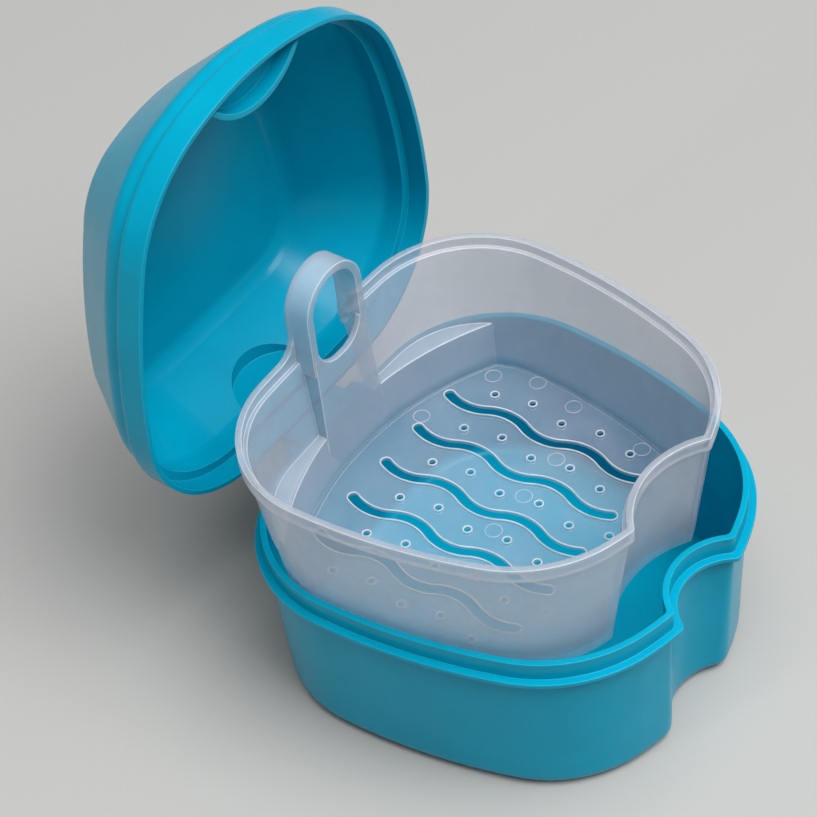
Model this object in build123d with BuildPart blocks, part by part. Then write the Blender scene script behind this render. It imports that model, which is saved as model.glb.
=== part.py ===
"""Denture case: a bowl-shaped tub, a hinged lid and a lift-out drainer basket.

Units are millimetres. The origin is the centre of the tub's flat underside, +Z up, +X to the right of
someone who faces the finger notch, +Y towards the hinge. The lid stands open and the basket is lifted.
"""

import math
import os

from build123d import *

# Plan outline of the tub's ledge: tangent arcs from the rear centre round one side. A front arc closes it.
half_depth = 44.8
rear_arc_radius = 441.0
rear_arc_sweep = 2.4
rear_corner_radius = 27.9
rear_corner_sweep = 89.0
side_arc_radius = 129.0
side_arc_sweep = 17.3
front_corner_radius = 30.9
front_corner_sweep = 52.6

# Finger notch in the tub's front
notch_radius = 11.3
notch_depth = 6.6
notch_corner_radius = 1.5
notch_foot_ease = 1.6
notch_foot_corner_radius = 4.0

# Tub
tub_wall = 1.2
tub_floor = 1.4
tub_draft = 2.4
tub_foot_radius = 3.5
ledge_height = 35.5
ledge_thickness = 0.9
ledge_overhang = 1.75
lip_height = 4.0
lip_inset = 1.5

# Lid: heights above its rim, in the closed position
lid_seat_gap = 0.1
rim_setback = 0.15
skirt_wall = 1.0
skirt_height = 6.0
skirt_edge_radius = 1.2
lip_headroom = 0.5
crown_inset = 1.9
crown_wall = 1.3
crown_height = 28.0
slope_start = 9.5
plate_inset = 12.6
plate_shift = 4.0
crown_top_radius = 6.0
crown_foot_radius = 4.0
rib_gap = 0.35
rib_wall = 1.2
rib_edge_height = 1.3
alcove_gap = 2.0
alcove_depth = 14.0

# Hinge
hinge_behind_ledge = 2.7
hinge_below_ledge = 3.45
knuckle_radius = 2.5
pin_radius = 1.2
pin_clearance = 0.08
barrel_half_length = 8.5
ear_gap = 0.4
ear_width = 2.6
ear_root_height = 10.0
arm_height = 5.0
arm_thickness = 1.8
heel_length = 3.4
heel_thickness = 1.4
stop_gap = 0.25
open_angle = 89.3

# Basket: heights above its underside
basket_height = 32.0
basket_floor = 0.8
basket_wall = 1.2
basket_draft = 7.5
basket_rim_inset = 3.9
rim_band_height = 3.0
rim_step = 0.8
basket_notch_radius = 19.0
basket_notch_gap = 1.1
basket_corner_radius = 0.8
shelf_height = 11.5
shelf_depth = 1.35
shelf_arc_radius = 67.0
panel_half_width = 9.4
panel_setback = 7.3
panel_lean = 2.8
panel_top = 27.5
panel_top_radius = 6.0
handle_inner_radius = 6.7
handle_thickness = 1.7
handle_top = 49.2
handle_flare_radius = 4.5
seat_gap = 0.1

# Drain slots and holes in the basket's floor
slot_pitch = 11.05
slot_count = 5
slot_width = 2.4
slot_rear_y = 27.7
wave_count = 5
wave_length = 9.2
wave_height = 1.1
hole_radius = 0.85
hole_rows = 6
outer_hole_rows = 5
hole_row_pitch = 8.1
hole_rear_y = 19.7
hole_stagger = 0.85

# Where the lifted basket stands from its seat in the tub
lift_x = -4.6
lift_y = 0.77
lift_z = 33.4


# ---------------------------------------------------------------- shared outline


def plain_outline(inset):
    """Closed outline of the case, parallel to the ledge's edge and `inset` inside it."""
    arcs = [
        (rear_arc_radius, rear_arc_sweep),
        (rear_corner_radius, rear_corner_sweep),
        (side_arc_radius, side_arc_sweep),
        (front_corner_radius, front_corner_sweep),
    ]
    with BuildSketch() as outline:
        with BuildLine():
            point, direction = Vector(0, half_depth - inset), Vector(-1, 0)
            for radius, sweep in arcs:
                arc = JernArc(point, direction, radius - inset, sweep)
                point, direction = arc @ 1, arc % 1
            TangentArc(point, Vector(-point.X, point.Y), tangent=direction)
            mirror(about=Plane.YZ)
        make_face()
    return outline.sketch


def notched_outline(inset, centre_y, radius, corner_radius):
    """The closed outline with a finger notch in its front, whose wall keeps the same inset."""
    with BuildSketch() as outline:
        add(plain_outline(inset))
        with Locations((0, centre_y)):
            Circle(radius + inset, mode=Mode.SUBTRACT)
        fillet(outline.vertices().sort_by(Axis.Y)[:2], corner_radius)
    return outline.sketch


front_y = plain_outline(0).bounding_box().min.Y
notch_y = front_y + notch_depth - notch_radius


def tub_outline(inset):
    return notched_outline(inset, notch_y, notch_radius, notch_corner_radius)


def tub_foot_outline(inset):
    """The tub's outline at its foot, where the notch is shallower and has softer corners."""
    return notched_outline(inset, notch_y, notch_radius - notch_foot_ease, notch_foot_corner_radius)


def run(height, angle):
    """Sideways run of a wall that leans by an angle over a height."""
    return height * math.tan(math.radians(angle))


# ---------------------------------------------------------------- hinge line

hinge_y = half_depth + hinge_behind_ledge
hinge_z = ledge_height - hinge_below_ledge
hinge_line = Axis((0, hinge_y, hinge_z), (-1, 0, 0))
ear_x = barrel_half_length + ear_gap
ledge_underside = ledge_height - ledge_thickness
lip_top = ledge_height + lip_height
room_inset = lip_inset + tub_wall


# ---------------------------------------------------------------- tub

foot_inset = ledge_overhang + run(ledge_underside, tub_draft)
floor_inset = room_inset + run(lip_top - tub_floor, tub_draft)

with BuildPart() as tub:
    # Bowl, drafted outwards to the ledge
    with BuildSketch():
        add(tub_foot_outline(foot_inset))
    with BuildSketch(Plane.XY.offset(ledge_underside)):
        add(tub_outline(ledge_overhang))
    loft(ruled=True)
    fillet(tub.faces().sort_by(Axis.Z)[0].edges(), tub_foot_radius)

    # Ledge that the lid lands on, and the lip that its skirt drops over
    with BuildSketch(Plane.XY.offset(ledge_underside)):
        add(tub_outline(0))
    extrude(amount=ledge_thickness)
    with BuildSketch(Plane.XY.offset(ledge_height)):
        add(tub_outline(lip_inset))
    extrude(amount=lip_height)

    # Hinge ears
    ear_root_y = half_depth - ledge_overhang - tub_wall / 2
    for ear_start in (ear_x, -ear_x - ear_width):
        with BuildSketch(Plane.YZ.offset(ear_start)):
            with Locations((hinge_y, hinge_z)):
                Circle(knuckle_radius)
            with Locations((ear_root_y, ledge_underside)):
                Rectangle(tub_wall / 2, ear_root_height, align=(Align.CENTER, Align.MAX))
            make_hull()
        extrude(amount=ear_width)

    # Room inside
    with BuildSketch(Plane.XY.offset(tub_floor)):
        add(tub_foot_outline(floor_inset))
    with BuildSketch(Plane.XY.offset(lip_top)):
        add(tub_outline(room_inset))
    loft(ruled=True, mode=Mode.SUBTRACT)
    inner_floor = tub.faces().filter_by(Axis.Z).sort_by(Axis.Z)[1]
    fillet(inner_floor.edges(), tub_foot_radius - tub_wall)

    # Bores for the lid's stub pins
    with BuildSketch(Plane.YZ.offset(-ear_x - ear_width)):
        with Locations((hinge_y, hinge_z)):
            Circle(pin_radius + pin_clearance)
    extrude(amount=2 * (ear_x + ear_width), mode=Mode.SUBTRACT)

tub.part.label = "tub"


# ---------------------------------------------------------------- lid, modelled closed

rim_height = ledge_height + lid_seat_gap
handle_outer_radius = handle_inner_radius + handle_thickness
basket_seat = tub_floor + seat_gap
alcove_height = basket_seat + handle_top - handle_outer_radius - rim_height
skirt_room_height = lip_height + lip_headroom
slope_rise = crown_height - slope_start
slope_angle = math.degrees(math.atan(plate_inset / slope_rise))


def lid_level(height):
    """Horizontal plane at a height above the closed lid's rim."""
    return Plane.XY.offset(rim_height + height)


def crown_form(shrink):
    """Solid shape of the crown: upright wall, slope and flat plate, drawn in by `shrink` for its inside."""
    start = slope_start - run(shrink, slope_angle / 2)
    rise = slope_rise - shrink
    plate = crown_inset + run(rise, slope_angle) + shrink / math.cos(math.radians(slope_angle))
    with BuildPart() as form:
        with BuildSketch(lid_level(0)):
            add(plain_outline(crown_inset + shrink))
        extrude(amount=start)
        with BuildSketch(lid_level(start)):
            add(plain_outline(crown_inset + shrink))
        with BuildSketch(lid_level(slope_start + rise)):
            with Locations((0, plate_shift * rise / slope_rise)):
                add(plain_outline(plate))
        loft(ruled=True)
        fillet(form.faces().sort_by(Axis.Z)[-1].edges(), crown_top_radius - shrink)
        foot_edges = form.edges().filter_by_position(
            Axis.Z, rim_height + start - crown_wall, rim_height + start + crown_wall
        )
        fillet(foot_edges, crown_foot_radius - shrink)
    return form.part


def alcove_form(shrink):
    """Arched bulge in the rear of the crown that the basket's handle stands in."""
    inset = crown_inset + shrink
    radius = handle_outer_radius + alcove_gap + crown_wall - shrink
    with BuildPart() as form:
        with BuildSketch(Plane.XZ.offset(alcove_depth - half_depth)):
            with Locations((0, rim_height + alcove_height)):
                Circle(radius)
                Rectangle(2 * radius, radius, align=(Align.CENTER, Align.MAX), mode=Mode.SUBTRACT)
        extrude(amount=-alcove_depth)
        with BuildSketch(lid_level(0)):
            add(plain_outline(inset))
        extrude(amount=crown_height, mode=Mode.INTERSECT)
    return form.part


crown_outside, crown_inside = crown_form(0), crown_form(crown_wall)
alcove_outside, alcove_inside = alcove_form(0), alcove_form(crown_wall)

with BuildPart() as closed_lid:
    # Skirt with a rounded shoulder, and the crown above it
    with BuildSketch(lid_level(0)):
        add(plain_outline(rim_setback))
    extrude(amount=skirt_height)
    fillet(closed_lid.faces().sort_by(Axis.Z)[-1].edges(), skirt_edge_radius)
    add(crown_outside)
    add(alcove_outside)

    # Hinge arm, from the skirt's rear down to the barrel
    arm_y = half_depth - rim_setback
    with BuildSketch(Plane.YZ.offset(-barrel_half_length)):
        with BuildLine():
            Polyline(
                (arm_y - skirt_wall / 2, rim_height + arm_height),
                (arm_y - skirt_wall / 2, rim_height + arm_thickness / 2),
                (hinge_y - knuckle_radius, rim_height + arm_thickness / 2),
                (hinge_y - knuckle_radius, hinge_z),
                (hinge_y + knuckle_radius, hinge_z),
                (arm_y + arm_thickness, rim_height + arm_height),
                close=True,
            )
        make_face()
    extrude(amount=2 * barrel_half_length)

    # Room for the lip, and the crown's inside
    with BuildSketch(lid_level(0)):
        add(plain_outline(rim_setback + skirt_wall))
    extrude(amount=skirt_room_height, mode=Mode.SUBTRACT)
    add(crown_inside, mode=Mode.SUBTRACT)
    add(alcove_inside, mode=Mode.SUBTRACT)

    # Shelf over the tub's finger notch, and the rib that hangs from it behind the lip
    rib_radius = notch_radius + room_inset + rib_gap
    with BuildSketch(lid_level(skirt_room_height)):
        add(plain_outline(crown_inset + crown_wall / 2))
        with Locations((0, notch_y)):
            Circle(rib_radius + rib_wall, mode=Mode.INTERSECT)
    extrude(amount=skirt_height - skirt_room_height)
    with BuildSketch(lid_level(rib_edge_height)):
        add(tub_outline(room_inset + rib_gap))
        with Locations((0, notch_y)):
            Circle(rib_radius + rib_wall, mode=Mode.INTERSECT)
    extrude(amount=skirt_height - rib_edge_height)

    # Hinge barrel with a stub pin at each end, and the heel that stops the lid when it is open
    with BuildSketch(Plane.YZ.offset(-barrel_half_length)):
        with Locations((hinge_y, hinge_z)):
            Circle(knuckle_radius)
    extrude(amount=2 * barrel_half_length)
    with BuildSketch(Plane.YZ.offset(-ear_x - ear_width)):
        with Locations((hinge_y, hinge_z)):
            Circle(pin_radius)
    extrude(amount=2 * (ear_x + ear_width))
    heel_top = hinge_z - ledge_underside + stop_gap
    with BuildSketch(Plane.YZ.offset(-barrel_half_length)):
        with Locations((hinge_y + heel_top, hinge_z)):
            Rectangle(heel_thickness, heel_length, align=(Align.MIN, Align.MAX))
    extrude(amount=2 * barrel_half_length)

with BuildPart() as lid:
    add(closed_lid.part.rotate(hinge_line, open_angle))
lid.part.label = "lid"


# ---------------------------------------------------------------- basket, modelled about its seat's centre

basket_notch_y = notch_y + notch_radius + room_inset + basket_notch_gap - basket_notch_radius
step_height = basket_height - rim_band_height


def basket_outline(inset):
    return notched_outline(inset, basket_notch_y, basket_notch_radius - basket_rim_inset, basket_corner_radius)


def basket_form(shrink, base, band_height):
    """Solid shape of the basket from `base` up, drawn in by `shrink` for its inside."""
    shelf = shelf_height - basket_wall + shrink
    band = basket_height - band_height

    def inset_at(height):
        return basket_rim_inset + rim_step + shrink + run(band - height, basket_draft)

    shelf_rear_y = half_depth - inset_at(shelf) - shelf_depth
    shelf_arc = shelf_arc_radius - shrink
    with BuildPart() as form:
        # Well below the shelf, whose rear wall is an arc
        with BuildSketch(Plane.XY.offset(base)):
            add(basket_outline(inset_at(base)))
        with BuildSketch(Plane.XY.offset(shelf)):
            add(basket_outline(inset_at(shelf)))
        loft(ruled=True)
        with BuildSketch(Plane.XY.offset(base)):
            with Locations((0, shelf_rear_y - shelf_arc)):
                Circle(shelf_arc - run(shelf - base, basket_draft))
        with BuildSketch(Plane.XY.offset(shelf)):
            with Locations((0, shelf_rear_y - shelf_arc)):
                Circle(shelf_arc)
        loft(ruled=True, mode=Mode.INTERSECT)
        # Walls above the shelf, and the rim band that is stepped outwards
        with BuildSketch(Plane.XY.offset(shelf)):
            add(basket_outline(inset_at(shelf)))
        with BuildSketch(Plane.XY.offset(band)):
            add(basket_outline(inset_at(band)))
        loft(ruled=True)
        with BuildSketch(Plane.XY.offset(band)):
            add(basket_outline(basket_rim_inset + shrink))
        extrude(amount=band_height)
        # Recess behind the central rear panel
        panel_skin = basket_wall - shrink
        panel_y = half_depth - basket_rim_inset - panel_setback + panel_skin
        with BuildSketch():
            with Locations((0, panel_y)):
                Rectangle(2 * (panel_half_width - panel_skin), half_depth, align=(Align.CENTER, Align.MIN))
        extrude(amount=basket_height + basket_floor, taper=panel_lean, mode=Mode.SUBTRACT)
    return form.part


with BuildSketch() as wavy_slot:
    with BuildLine() as wave:
        for k in range(wave_count):
            start_y = slot_rear_y - k * wave_length
            SagittaArc((0, start_y), (0, start_y - wave_length), -wave_height * (-1) ** k)
    trace(line_width=slot_width)
    with Locations(wave.line @ 0, wave.line @ 1):
        Circle(slot_width / 2)

basket_outside = basket_form(0, 0, rim_band_height)
basket_inside = basket_form(basket_wall, basket_floor, rim_band_height - rim_step)
rim_rear_y = half_depth - basket_rim_inset
handle_front_y = rim_rear_y - panel_setback + run(basket_height, panel_lean)
handle_rear_y = rim_rear_y - rim_step / 4
arch_height = handle_top - handle_outer_radius

with BuildPart() as seated_basket:
    add(basket_outside)
    add(basket_inside, mode=Mode.SUBTRACT)

    # The central panel ends below the rim, under the handle
    with BuildSketch(Plane.XZ.offset(panel_setback - rim_rear_y + basket_wall)) as panel_cut:
        with Locations((0, panel_top)):
            Rectangle(2 * handle_inner_radius, handle_top, align=(Align.CENTER, Align.MIN))
        fillet(panel_cut.vertices().sort_by(Axis.Y)[:2], panel_top_radius)
    extrude(amount=-panel_setback, mode=Mode.SUBTRACT)

    # Bail-shaped handle that stands on the walls beside the panel
    with BuildSketch(Plane.XZ.offset(-handle_front_y)):
        with Locations((0, arch_height)):
            Circle(handle_outer_radius)
        with Locations((0, panel_top)):
            Rectangle(2 * handle_outer_radius, arch_height - panel_top, align=(Align.CENTER, Align.MIN))
        with Locations((0, arch_height)):
            Circle(handle_inner_radius, mode=Mode.SUBTRACT)
        with Locations((0, panel_top)):
            Rectangle(
                2 * handle_inner_radius,
                arch_height - panel_top,
                align=(Align.CENTER, Align.MIN),
                mode=Mode.SUBTRACT,
            )
    extrude(amount=handle_front_y - handle_rear_y)

    # Concave flares from the rear rim up to the handle's legs
    with BuildSketch(Plane.XZ.offset(-handle_rear_y)):
        with Locations((handle_outer_radius, basket_height)):
            Rectangle(handle_flare_radius, handle_flare_radius, align=(Align.MIN, Align.MIN))
        with Locations((handle_outer_radius + handle_flare_radius, basket_height + handle_flare_radius)):
            Circle(handle_flare_radius, mode=Mode.SUBTRACT)
        mirror(about=Plane.YZ)
    extrude(amount=basket_wall)

    # Drain slots and holes
    with BuildSketch():
        with GridLocations(slot_pitch, 0, slot_count, 1):
            add(wavy_slot.sketch)
        for column in range(slot_count + 1):
            column_x = (column - slot_count / 2) * slot_pitch
            rows = outer_hole_rows if column in (0, slot_count) else hole_rows
            for row in range(rows):
                stagger = -hole_stagger * (-1) ** row
                with Locations((column_x + stagger, hole_rear_y - row * hole_row_pitch)):
                    Circle(hole_radius)
    extrude(amount=basket_floor, mode=Mode.SUBTRACT)

with BuildPart() as basket:
    add(seated_basket.part.moved(Location((lift_x, lift_y, basket_seat + lift_z))))
basket.part.label = "basket"


# ---------------------------------------------------------------- export

os.makedirs("parts", exist_ok=True)
export_step(tub.part, "parts/tub.step")
export_step(lid.part, "parts/lid.step")
export_step(basket.part, "parts/basket.step")
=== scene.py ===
import math

import bpy
import numpy as np
from mathutils import Matrix, Vector


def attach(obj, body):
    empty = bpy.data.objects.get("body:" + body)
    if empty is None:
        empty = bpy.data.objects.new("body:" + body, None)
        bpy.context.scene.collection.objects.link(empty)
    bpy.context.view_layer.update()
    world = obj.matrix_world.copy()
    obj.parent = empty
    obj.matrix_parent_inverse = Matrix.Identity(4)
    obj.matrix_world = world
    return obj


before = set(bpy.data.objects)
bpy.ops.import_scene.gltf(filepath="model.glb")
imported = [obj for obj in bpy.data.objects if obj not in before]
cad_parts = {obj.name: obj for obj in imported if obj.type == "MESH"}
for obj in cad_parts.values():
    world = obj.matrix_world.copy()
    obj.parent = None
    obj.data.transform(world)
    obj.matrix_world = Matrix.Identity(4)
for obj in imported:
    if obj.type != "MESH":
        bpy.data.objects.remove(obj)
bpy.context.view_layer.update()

bl_info = {
    "name": "Denture Case",
    "version": (1, 0, 0),
    "blender": (4, 5, 0),
    "location": "View3D > Sidebar > Denture Case",
    "description": "Dresses a moulded denture case: notched tub, open lid and lifted drainer basket",
    "category": "Add Mesh",
}

MM = 0.001

# The basket's seat, moved to where the lifted basket stands, and the height of its floor, in millimetres
BASKET_PLACE = (-4.6, 0.77, 34.9)
BASKET_FLOOR = 0.8

# Drain slots and holes, in millimetres
SLOT_PITCH = 11.05
SLOT_COUNT = 5
SLOT_WIDTH = 2.4
SLOT_REAR_Y = 27.7
WAVE_COUNT = 5
WAVE_LENGTH = 9.2
WAVE_HEIGHT = 1.1
HOLE_RADIUS = 0.85
HOLE_ROWS = (5, 6, 6, 6, 6, 5)
HOLE_PITCH = 8.1
HOLE_REAR_Y = 19.7
HOLE_STAGGER = 0.85

# Round marks that the ejector pins left on the basket's floor, in millimetres from its centre
EJECTOR_MARKS = ((14, 29), (31, 23), (34, 14), (32, 4), (18, -1), (6.5, -1), (-4, -1), (29, -14))


# Steps along one chord of a slot's wave, round each slot end, round a ring and round a bead
WAVE_STEPS = 24
END_STEPS = 12
RING_STEPS = 28
BEAD_STEPS = 10

# Polypropylene: index of refraction, and how far the eye reads the mouldings' edges as rounded
PP_IOR = 1.49
BLUE_EDGE = 0.35 * MM
NATURAL_EDGE = 0.45 * MM
EDGE_SAMPLES = 6

# Patterns, in features per metre: 2.5 mm polish marks, 14 mm blue flow, 12 mm natural flow, 3 mm mottle
POLISH_SCALE = 400
BLUE_FLOW_SCALE = 70
NATURAL_FLOW_SCALE = 80
MOTTLE_SCALE = 330

# Share of the paler edge colour on every edge, a painted highlight that is partly wear, and how deep the
# sink marks are
EDGE_HIGHLIGHT_AND_WEAR = 0.5
SINK_DEPTH = 0.1 * MM
SINK_STRENGTH = 0.05

# How opaque the natural plastic is: its floor, its walls from this height above the floor, which are milkier
# as a painted glow of the light that they scatter, and what a grazing look and an edge add to either
FLOOR_MILK = 0.08
WALL_MILK = 0.3
WALL_START = 3 * MM
GRAZING_MILK = 0.4
# Opacity added along an edge: part of the painted edge highlight
EDGE_HIGHLIGHT_MILK = 0.35

# Soft boxes: name, place, side in metres, power in watts, and the point that they are aimed at
SOFT_BOXES = (
    ("softbox", (0.0, -0.44, 0.86), 0.55, 7.0),
    ("side_softbox", (-0.7, 0.22, 0.42), 0.1, 0.6),
)
SOFT_BOX_AIM = (0, 0.02, 0.04)

# Even light from the ceiling: angle across in degrees, watts per square metre, and tilt to the front
CEILING_ANGLE = 60
CEILING_STRENGTH = 2.4
CEILING_TILT = 12
SKY_STRENGTH = 0.12

# How far the paper floor reaches from the middle, in metres
FLOOR_REACH = 8.0

# Camera: lens and sensor in millimetres, direction and roll in degrees, the point that it looks at and
# its distance from that point in millimetres, and its nearest view in metres
CAMERA_LENS = 109.39
CAMERA_SENSOR = 36.0
CAMERA_AZIMUTH = -49.212
CAMERA_ELEVATION = 45.119
CAMERA_ROLL = -7.083
CAMERA_TARGET = (7.26, 31.15, 39.05)
CAMERA_DISTANCE = 500.0
CAMERA_NEAREST = 0.01


def linear(colour):
    """Linear RGB of an sRGB hex colour: the sRGB curve, undone channel by channel."""
    srgb = [int(colour[i : i + 2], 16) / 255 for i in (1, 3, 5)]
    return tuple(c / 12.92 if c <= 0.04045 else ((c + 0.055) / 1.055) ** 2.4 for c in srgb)


# ---------------------------------------------------------------- sizes and colours a user would change


class CaseSizes(bpy.types.PropertyGroup):
    edge_bead: bpy.props.FloatProperty(
        name="Slot edge bead",
        description="Radius of the raised edge around each drain slot and hole",
        default=0.16 * MM,
        unit="LENGTH",
    )
    mark_radius: bpy.props.FloatProperty(
        name="Ejector mark",
        description="Radius of the round marks that the ejector pins left",
        default=1.7 * MM,
        unit="LENGTH",
    )
    mark_bead: bpy.props.FloatProperty(
        name="Ejector mark edge",
        description="Radius of the raised edge of each ejector mark",
        default=0.06 * MM,
        unit="LENGTH",
    )


class CaseColours(bpy.types.PropertyGroup):
    blue: bpy.props.FloatVectorProperty(
        name="Blue",
        description="Pigmented polypropylene of the tub and the lid",
        default=linear("#0098B8"),
        subtype="COLOR",
    )
    deep_blue: bpy.props.FloatVectorProperty(
        name="Deep blue",
        description="The blue where the melt flowed thicker",
        default=linear("#008CAA"),
        subtype="COLOR",
    )
    # Paler blue on every edge: a painted highlight, partly wear from handling
    highlight_and_wear_blue: bpy.props.FloatVectorProperty(
        name="Worn blue",
        description="The blue along edges that are handled",
        default=linear("#3CBAD4"),
        subtype="COLOR",
    )
    natural: bpy.props.FloatVectorProperty(
        name="Natural",
        description="Unpigmented polypropylene of the basket",
        default=linear("#BEC6D2"),
        subtype="COLOR",
    )
    # White along the basket's edges and on its beads: a painted highlight
    highlight_white: bpy.props.FloatVectorProperty(
        name="Whitened",
        description="Unpigmented polypropylene where an edge is thin and scatters more light",
        default=linear("#E4E2E6"),
        subtype="COLOR",
    )
    floor: bpy.props.FloatVectorProperty(
        name="Floor", description="Paper the case stands on", default=linear("#A8A8A6"), subtype="COLOR"
    )


# ---------------------------------------------------------------- materials


def add_node(tree, kind, settings=None, links=None):
    """A node with its settings and links: a key is an input's name or place, or else an attribute."""
    node = tree.nodes.new(kind)
    for key, value in (settings or {}).items():
        if isinstance(key, int) or key in node.inputs:
            node.inputs[key].default_value = value
        else:
            setattr(node, key, value)
    for key, socket in (links or {}).items():
        tree.links.new(socket, node.inputs[key])
    return node


def blank_material(name):
    material = bpy.data.materials.new(name)
    material.use_nodes = True
    material.node_tree.nodes.clear()
    return material, material.node_tree


def near_edges(tree, radius):
    """Share, from 0 to 1, of how near a point is to an edge: how far the normal of the edge rounded to
    `radius` turns away from the surface's own normal. Also gives that rounded normal."""
    bevel = add_node(tree, "ShaderNodeBevel", {"Radius": radius, "samples": EDGE_SAMPLES})
    rounded = bevel.outputs["Normal"]
    own = add_node(tree, "ShaderNodeNewGeometry").outputs["Normal"]
    agree = add_node(tree, "ShaderNodeVectorMath", {"operation": "DOT_PRODUCT"}, {0: rounded, 1: own})
    share = add_node(
        tree,
        "ShaderNodeMapRange",
        {"From Min": 0.995, "From Max": 0.8, "To Min": 0.0, "To Max": 1.0},
        {"Value": agree.outputs["Value"]},
    )
    return share.outputs["Result"], rounded


def moulded_blue_pp(colour, deep, highlight_and_wear):
    """Injection-moulded blue polypropylene: a waxy half gloss, slow streaks where the melt flowed, edges
    rounded and a little paler as a painted highlight that is partly wear, and light that scatters inside and
    softens the shadows."""
    material, tree = blank_material("moulded_blue_pp")
    place = add_node(tree, "ShaderNodeTexCoord").outputs["Object"]
    # Polish marks of the mould, which vary the gloss
    polish = add_node(
        tree, "ShaderNodeTexNoise", {"Scale": POLISH_SCALE, "Detail": 3.0}, {"Vector": place}
    )
    # Flow and sink of the moulding, which vary the colour and the height
    flow = add_node(
        tree,
        "ShaderNodeTexNoise",
        {"Scale": BLUE_FLOW_SCALE, "Detail": 1.5, "Distortion": 0.6},
        {"Vector": place},
    )
    rough = add_node(
        tree,
        "ShaderNodeMapRange",
        {"From Min": 0.25, "From Max": 0.75, "To Min": 0.22, "To Max": 0.27},
        {"Value": polish.outputs["Fac"]},
    )
    share = add_node(
        tree,
        "ShaderNodeMapRange",
        {"From Min": 0.35, "From Max": 0.65, "To Min": 0.0, "To Max": 0.35},
        {"Value": flow.outputs["Fac"]},
    )
    tone = add_node(
        tree,
        "ShaderNodeMixRGB",
        {"Color1": (*colour, 1), "Color2": (*deep, 1)},
        {"Fac": share.outputs["Result"]},
    )
    edge, rounded = near_edges(tree, BLUE_EDGE)
    # Paler colour on every edge, by the edge share: a painted highlight, partly wear
    edge_highlight_and_wear = add_node(tree, "ShaderNodeMath", {"operation": "MULTIPLY", 1: EDGE_HIGHLIGHT_AND_WEAR}, {0: edge})
    highlight_and_wear_tone = add_node(
        tree,
        "ShaderNodeMixRGB",
        {"Color2": (*highlight_and_wear, 1)},
        {"Fac": edge_highlight_and_wear.outputs["Value"], "Color1": tone.outputs["Color"]},
    )
    sink = add_node(
        tree,
        "ShaderNodeBump",
        {"Strength": SINK_STRENGTH, "Distance": SINK_DEPTH},
        {"Height": flow.outputs["Fac"], "Normal": rounded},
    )
    shader = add_node(
        tree,
        "ShaderNodeBsdfPrincipled",
        {
            "IOR": PP_IOR,
            "Specular IOR Level": 0.15,
            "Subsurface Weight": 0.15,
            "Subsurface Radius": (0.3, 1.0, 1.3),
            "Subsurface Scale": 0.8 * MM,
        },
        {
            "Base Color": highlight_and_wear_tone.outputs["Color"],
            "Roughness": rough.outputs["Result"],
            "Normal": sink.outputs["Normal"],
        },
    )
    add_node(tree, "ShaderNodeOutputMaterial", {}, {"Surface": shader.outputs["BSDF"]})
    return material


def natural_pp(colour, white):
    """Unpigmented polypropylene, moulded: milky and see-through where it is looked at squarely, denser where
    it is looked at along the wall, whiter along its edges as a painted highlight, milkier on its walls than
    on its floor as a painted glow of scattered light, with cloudy flow marks."""
    material, tree = blank_material("natural_pp")
    place = add_node(tree, "ShaderNodeTexCoord").outputs["Object"]
    # Cloudy flow of the melt, which varies the gloss and the milkiness
    flow = add_node(
        tree,
        "ShaderNodeTexNoise",
        {"Scale": NATURAL_FLOW_SCALE, "Detail": 2.0, "Distortion": 0.8},
        {"Vector": place},
    )
    rough = add_node(
        tree,
        "ShaderNodeMapRange",
        {"From Min": 0.3, "From Max": 0.7, "To Min": 0.16, "To Max": 0.26},
        {"Value": flow.outputs["Fac"]},
    )
    edge, rounded = near_edges(tree, NATURAL_EDGE)
    # Whiter colour along every edge: a painted highlight
    tone = add_node(
        tree,
        "ShaderNodeMixRGB",
        {"Color1": (*colour, 1), "Color2": (*white, 1)},
        {"Fac": edge},
    )
    facing = add_node(tree, "ShaderNodeLayerWeight", {"Blend": 0.3})
    # The walls, from WALL_START above the floor, are milkier than the floor: a painted glow of the light
    # that they scatter
    height = add_node(tree, "ShaderNodeSeparateXYZ", {}, {0: place})
    floor_top = (BASKET_PLACE[2] + BASKET_FLOOR) * MM
    clear = add_node(
        tree,
        "ShaderNodeMapRange",
        {
            "From Min": floor_top,
            "From Max": floor_top + WALL_START,
            "To Min": FLOOR_MILK,
            "To Max": WALL_MILK,
        },
        {"Value": height.outputs["Z"]},
    )
    cover = add_node(
        tree,
        "ShaderNodeMath",
        {"operation": "MULTIPLY_ADD", 1: GRAZING_MILK},
        {0: facing.outputs["Facing"], 2: clear.outputs["Result"]},
    )
    cloud = add_node(
        tree,
        "ShaderNodeMapRange",
        {"From Min": 0.3, "From Max": 0.7, "To Min": -0.02, "To Max": 0.03},
        {"Value": flow.outputs["Fac"]},
    )
    milk = add_node(
        tree,
        "ShaderNodeMath",
        {"operation": "ADD"},
        {0: cover.outputs["Value"], 1: cloud.outputs["Result"]},
    )
    # More opaque along edges: part of the painted edge highlight
    alpha = add_node(
        tree,
        "ShaderNodeMath",
        {"operation": "MULTIPLY_ADD", 1: EDGE_HIGHLIGHT_MILK, "use_clamp": True},
        {0: edge, 2: milk.outputs["Value"]},
    )
    shader = add_node(
        tree,
        "ShaderNodeBsdfPrincipled",
        {
            "IOR": PP_IOR,
            "Subsurface Weight": 0.6,
            "Subsurface Radius": (1.0, 1.0, 1.0),
            "Subsurface Scale": 1.5 * MM,
        },
        {
            "Base Color": tone.outputs["Color"],
            "Roughness": rough.outputs["Result"],
            "Alpha": alpha.outputs["Value"],
            "Normal": rounded,
        },
    )
    add_node(tree, "ShaderNodeOutputMaterial", {}, {"Surface": shader.outputs["BSDF"]})
    return material


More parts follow.
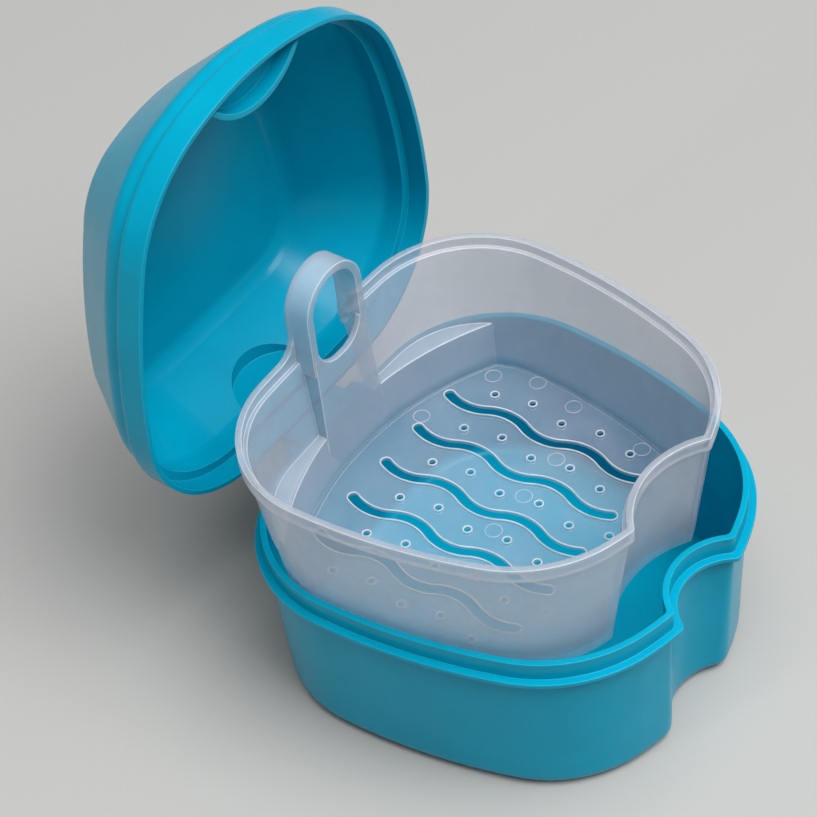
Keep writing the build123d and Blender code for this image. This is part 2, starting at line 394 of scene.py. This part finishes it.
def highlight_white_pp(colour):
    """The same polypropylene, almost opaque and white: a painted highlight along thin edges."""
    material, tree = blank_material("highlight_white_pp")
    place = add_node(tree, "ShaderNodeTexCoord").outputs["Object"]
    # Uneven strength of the painted white highlight
    patch = add_node(tree, "ShaderNodeTexNoise", {"Scale": MOTTLE_SCALE, "Detail": 1.0}, {"Vector": place})
    alpha = add_node(
        tree,
        "ShaderNodeMapRange",
        {"From Min": 0.3, "From Max": 0.7, "To Min": 0.35, "To Max": 0.6},
        {"Value": patch.outputs["Fac"]},
    )
    shader = add_node(
        tree,
        "ShaderNodeBsdfPrincipled",
        {"Base Color": (*colour, 1), "IOR": PP_IOR, "Roughness": 0.3},
        {"Alpha": alpha.outputs["Result"]},
    )
    add_node(tree, "ShaderNodeOutputMaterial", {}, {"Surface": shader.outputs["BSDF"]})
    return material


def studio_paper(colour):
    """Matt seamless paper: even and pale, with a fibre too fine to see drawn as a faint 3 mm mottle."""
    material, tree = blank_material("studio_paper")
    place = add_node(tree, "ShaderNodeTexCoord").outputs["Object"]
    fibre = add_node(tree, "ShaderNodeTexNoise", {"Scale": MOTTLE_SCALE, "Detail": 2.0}, {"Vector": place})
    bump = add_node(
        tree,
        "ShaderNodeBump",
        {"Strength": 0.03, "Distance": 0.1 * MM},
        {"Height": fibre.outputs["Fac"]},
    )
    shader = add_node(
        tree,
        "ShaderNodeBsdfPrincipled",
        {"Base Color": (*colour, 1), "Roughness": 0.85},
        {"Normal": bump.outputs["Normal"]},
    )
    add_node(tree, "ShaderNodeOutputMaterial", {}, {"Surface": shader.outputs["BSDF"]})
    return material


# ---------------------------------------------------------------- surfaces


def seated(points):
    """Points of the basket about its seat, in millimetres, moved to the lifted basket, in metres."""
    return (points + np.array(BASKET_PLACE)) * MM


def swept_loop(path, side, radius, steps=BEAD_STEPS):
    """Round bead along a closed path: the point at path parameter s and profile angle a is
    path(s) + radius * (cos a * side(s) + sin a * up), for a all the way round."""
    angle = np.linspace(0, 2 * np.pi, steps, endpoint=False)
    across = np.cos(angle)[None, :, None] * side[:, None, :]
    rise = np.sin(angle)[None, :, None] * np.array([0, 0, 1.0])
    return path[:, None, :] + radius * (across + rise)


def grid_faces(rows, columns, start=0):
    """Quads of a grid that closes both ways: each joins point (r, c) to its neighbours r + 1 and c + 1."""
    r, c = np.meshgrid(np.arange(rows), np.arange(columns), indexing="ij")
    r_next, c_next = (r + 1) % rows, (c + 1) % columns
    row, row_next = r * columns, r_next * columns
    quads = np.stack([row + c, row_next + c, row_next + c_next, row + c_next], -1)
    return quads.reshape(-1, 4) + start


def make_piece(name, grids, material, body):
    """One object of several closed rings of bead, placed in its mesh, riding on a body."""
    points, faces, start = [], [], 0
    for grid in grids:
        rows, columns = grid.shape[:2]
        points.append(grid.reshape(-1, 3))
        faces.append(grid_faces(rows, columns, start))
        start += rows * columns
    mesh = bpy.data.meshes.new(name)
    mesh.from_pydata(np.concatenate(points), [], np.concatenate(faces).tolist())
    mesh.polygons.foreach_set("use_smooth", np.ones(len(mesh.polygons), bool))
    mesh.materials.append(material)
    piece = bpy.data.objects.new(name, mesh)
    bpy.context.scene.collection.objects.link(piece)
    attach(piece, body)
    return piece


def loop_sides(path):
    """Unit vectors in plan across a closed path: its central difference turned by 90 degrees."""
    ahead = np.roll(path, -1, 0) - np.roll(path, 1, 0)
    side = np.stack([ahead[:, 1], -ahead[:, 0], np.zeros(len(path))], -1)
    return side / np.linalg.norm(side, axis=1, keepdims=True)


def circle(x, y, z, radius, steps=RING_STEPS):
    """Closed ring of points at equal angles about a centre."""
    angle = np.linspace(0, 2 * np.pi, steps, endpoint=False)
    return np.stack([x + radius * np.cos(angle), y + radius * np.sin(angle), np.full(steps, z)], -1)


def wave_centre(steps=WAVE_STEPS):
    """Centre line of a drain slot: circular arcs of one chord and height, bulging to alternate sides."""
    half = WAVE_LENGTH / 2
    radius = (half**2 + WAVE_HEIGHT**2) / (2 * WAVE_HEIGHT)
    along = np.linspace(-half, half, steps, endpoint=False)
    bulge = np.sqrt(radius**2 - along**2) - (radius - WAVE_HEIGHT)
    waves = np.arange(WAVE_COUNT)
    y = SLOT_REAR_Y - waves[:, None] * WAVE_LENGTH - (along + half)[None, :]
    x = -((-1.0) ** waves)[:, None] * bulge[None, :]
    end = np.array([[0, SLOT_REAR_Y - WAVE_COUNT * WAVE_LENGTH]])
    return np.concatenate([np.stack([x, y], -1).reshape(-1, 2), end])


def slot_outline(x, z):
    """Closed outline of a slot: the centre line moved sideways by half the width, with half-round ends."""
    centre = wave_centre()
    ahead = np.gradient(centre, axis=0)
    ahead /= np.linalg.norm(ahead, axis=1, keepdims=True)
    side = np.stack([-ahead[:, 1], ahead[:, 0]], -1)
    half = SLOT_WIDTH / 2
    turn = np.linspace(0, np.pi, END_STEPS)[1:-1, None]
    far_end = centre[-1] + half * (np.cos(turn) * side[-1] + np.sin(turn) * ahead[-1])
    near_end = centre[0] - half * (np.cos(turn) * side[0] + np.sin(turn) * ahead[0])
    plan = np.concatenate([centre + half * side, far_end, (centre - half * side)[::-1], near_end])
    return np.column_stack([plan[:, 0] + x, plan[:, 1], np.full(len(plan), z)])


# ---------------------------------------------------------------- operators


def dress(node, material):
    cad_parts[node].data.materials.clear()
    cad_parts[node].data.materials.append(material)


class DENTURE_OT_mouldings(bpy.types.Operator):
    """Gives the tub, lid and basket their plastics"""

    bl_idname = "denture_case.mouldings"
    bl_label = "Mouldings"

    def execute(self, context):
        colours = context.scene.case_colours
        # The blue's paler edge colour is a painted highlight, partly wear
        blue = moulded_blue_pp(tuple(colours.blue), tuple(colours.deep_blue), tuple(colours.highlight_and_wear_blue))
        dress("tub", blue)
        dress("lid", blue)
        dress("basket", natural_pp(tuple(colours.natural), tuple(colours.highlight_white)))
        return {"FINISHED"}


class DENTURE_OT_drain_edges(bpy.types.Operator):
    """Adds the raised edges around the basket's drain slots and holes, painted white as a highlight"""

    bl_idname = "denture_case.drain_edges"
    bl_label = "Drain edges"

    def execute(self, context):
        colours, sizes = context.scene.case_colours, context.scene.case_sizes
        # White beads: a painted highlight along the slot, hole and ejector mark edges
        white = highlight_white_pp(tuple(colours.highlight_white))
        bead = sizes.edge_bead / MM
        columns = (np.arange(SLOT_COUNT) - (SLOT_COUNT - 1) / 2) * SLOT_PITCH
        slots = [slot_outline(x, BASKET_FLOOR) for x in columns]
        grids = [seated(swept_loop(path, loop_sides(path), bead)) for path in slots]
        make_piece("slot_edges", grids, white, "basket")
        rings = []
        for column, rows in enumerate(HOLE_ROWS):
            x = (column - SLOT_COUNT / 2) * SLOT_PITCH
            for row in range(rows):
                stagger = -HOLE_STAGGER * (-1) ** row
                rings.append(circle(x + stagger, HOLE_REAR_Y - row * HOLE_PITCH, BASKET_FLOOR, HOLE_RADIUS))
        grids = [seated(swept_loop(path, loop_sides(path), bead)) for path in rings]
        make_piece("hole_edges", grids, white, "basket")
        marks = [circle(x, y, BASKET_FLOOR, sizes.mark_radius / MM) for x, y in EJECTOR_MARKS]
        grids = [seated(swept_loop(path, loop_sides(path), sizes.mark_bead / MM)) for path in marks]
        make_piece("ejector_marks", grids, white, "basket")
        return {"FINISHED"}


class DENTURE_OT_stage(bpy.types.Operator):
    """Makes the floor, the lights and the camera"""

    bl_idname = "denture_case.stage"
    bl_label = "Stage"

    def execute(self, context):
        colours = context.scene.case_colours
        mesh = bpy.data.meshes.new("floor")
        far = FLOOR_REACH
        corners = [(-far, -far, 0), (far, -far, 0), (far, far, 0), (-far, far, 0)]
        mesh.from_pydata(corners, [], [(0, 1, 2, 3)])
        mesh.materials.append(studio_paper(tuple(colours.floor)))
        floor = bpy.data.objects.new("floor", mesh)
        context.scene.collection.objects.link(floor)

        world = context.scene.world or bpy.data.worlds.new("studio")
        context.scene.world = world
        world.use_nodes = True
        background = world.node_tree.nodes["Background"]
        background.inputs["Color"].default_value = (1.0, 1.0, 1.0, 1)
        background.inputs["Strength"].default_value = SKY_STRENGTH
        context.scene.view_settings.view_transform = "Standard"

        for name, place, size, power in SOFT_BOXES:
            lamp = bpy.data.lights.new(name, "AREA")
            lamp.size = size
            lamp.energy = power
            light = bpy.data.objects.new(name, lamp)
            light.location = place
            aim = Vector(SOFT_BOX_AIM) - Vector(place)
            light.rotation_euler = aim.to_track_quat("-Z", "Y").to_euler()
            context.scene.collection.objects.link(light)

        lamp = bpy.data.lights.new("ceiling", "SUN")
        lamp.angle = math.radians(CEILING_ANGLE)
        lamp.energy = CEILING_STRENGTH
        ceiling = bpy.data.objects.new("ceiling", lamp)
        ceiling.rotation_euler = (math.radians(CEILING_TILT), 0, 0)
        context.scene.collection.objects.link(ceiling)

        lens = bpy.data.cameras.new("camera")
        lens.lens = CAMERA_LENS
        lens.sensor_width = CAMERA_SENSOR
        lens.clip_start = CAMERA_NEAREST
        camera = bpy.data.objects.new("camera", lens)
        azimuth = math.radians(CAMERA_AZIMUTH)
        elevation = math.radians(CAMERA_ELEVATION)
        roll = math.radians(CAMERA_ROLL)
        target = Vector(CAMERA_TARGET) * MM
        distance = CAMERA_DISTANCE * MM
        back = Vector(
            (
                math.sin(azimuth) * math.cos(elevation),
                -math.cos(azimuth) * math.cos(elevation),
                math.sin(elevation),
            )
        )
        level = (-back).cross(Vector((0, 0, 1))).normalized()
        upright = level.cross(-back)
        right = math.cos(roll) * level + math.sin(roll) * upright
        up = -math.sin(roll) * level + math.cos(roll) * upright
        turn = Matrix((right, up, back)).transposed().to_4x4()
        camera.matrix_world = Matrix.Translation(target + back * distance) @ turn
        context.scene.collection.objects.link(camera)
        context.scene.camera = camera
        return {"FINISHED"}


class DENTURE_PT_sidebar(bpy.types.Panel):
    """Lists the steps that build the case"""

    bl_idname = "DENTURE_PT_sidebar"
    bl_label = "Denture Case"
    bl_space_type = "VIEW_3D"
    bl_region_type = "UI"
    bl_category = "Denture Case"

    def draw(self, context):
        for operator in OPERATORS:
            self.layout.operator(operator.bl_idname)
        for group in (context.scene.case_sizes, context.scene.case_colours):
            for name in group.bl_rna.properties.keys():
                if name not in ("rna_type", "name"):
                    self.layout.prop(group, name)


OPERATORS = (DENTURE_OT_mouldings, DENTURE_OT_drain_edges, DENTURE_OT_stage)
CLASSES = (CaseSizes, CaseColours, *OPERATORS, DENTURE_PT_sidebar)


def register():
    for cls in CLASSES:
        bpy.utils.register_class(cls)
    bpy.types.Scene.case_sizes = bpy.props.PointerProperty(type=CaseSizes)
    bpy.types.Scene.case_colours = bpy.props.PointerProperty(type=CaseColours)


def unregister():
    del bpy.types.Scene.case_colours
    del bpy.types.Scene.case_sizes
    for cls in reversed(CLASSES):
        bpy.utils.unregister_class(cls)


def main():
    register()
    for operator in OPERATORS:
        group, name = operator.bl_idname.split(".")
        getattr(getattr(bpy.ops, group), name)()


if __name__ == "__main__":
    main()
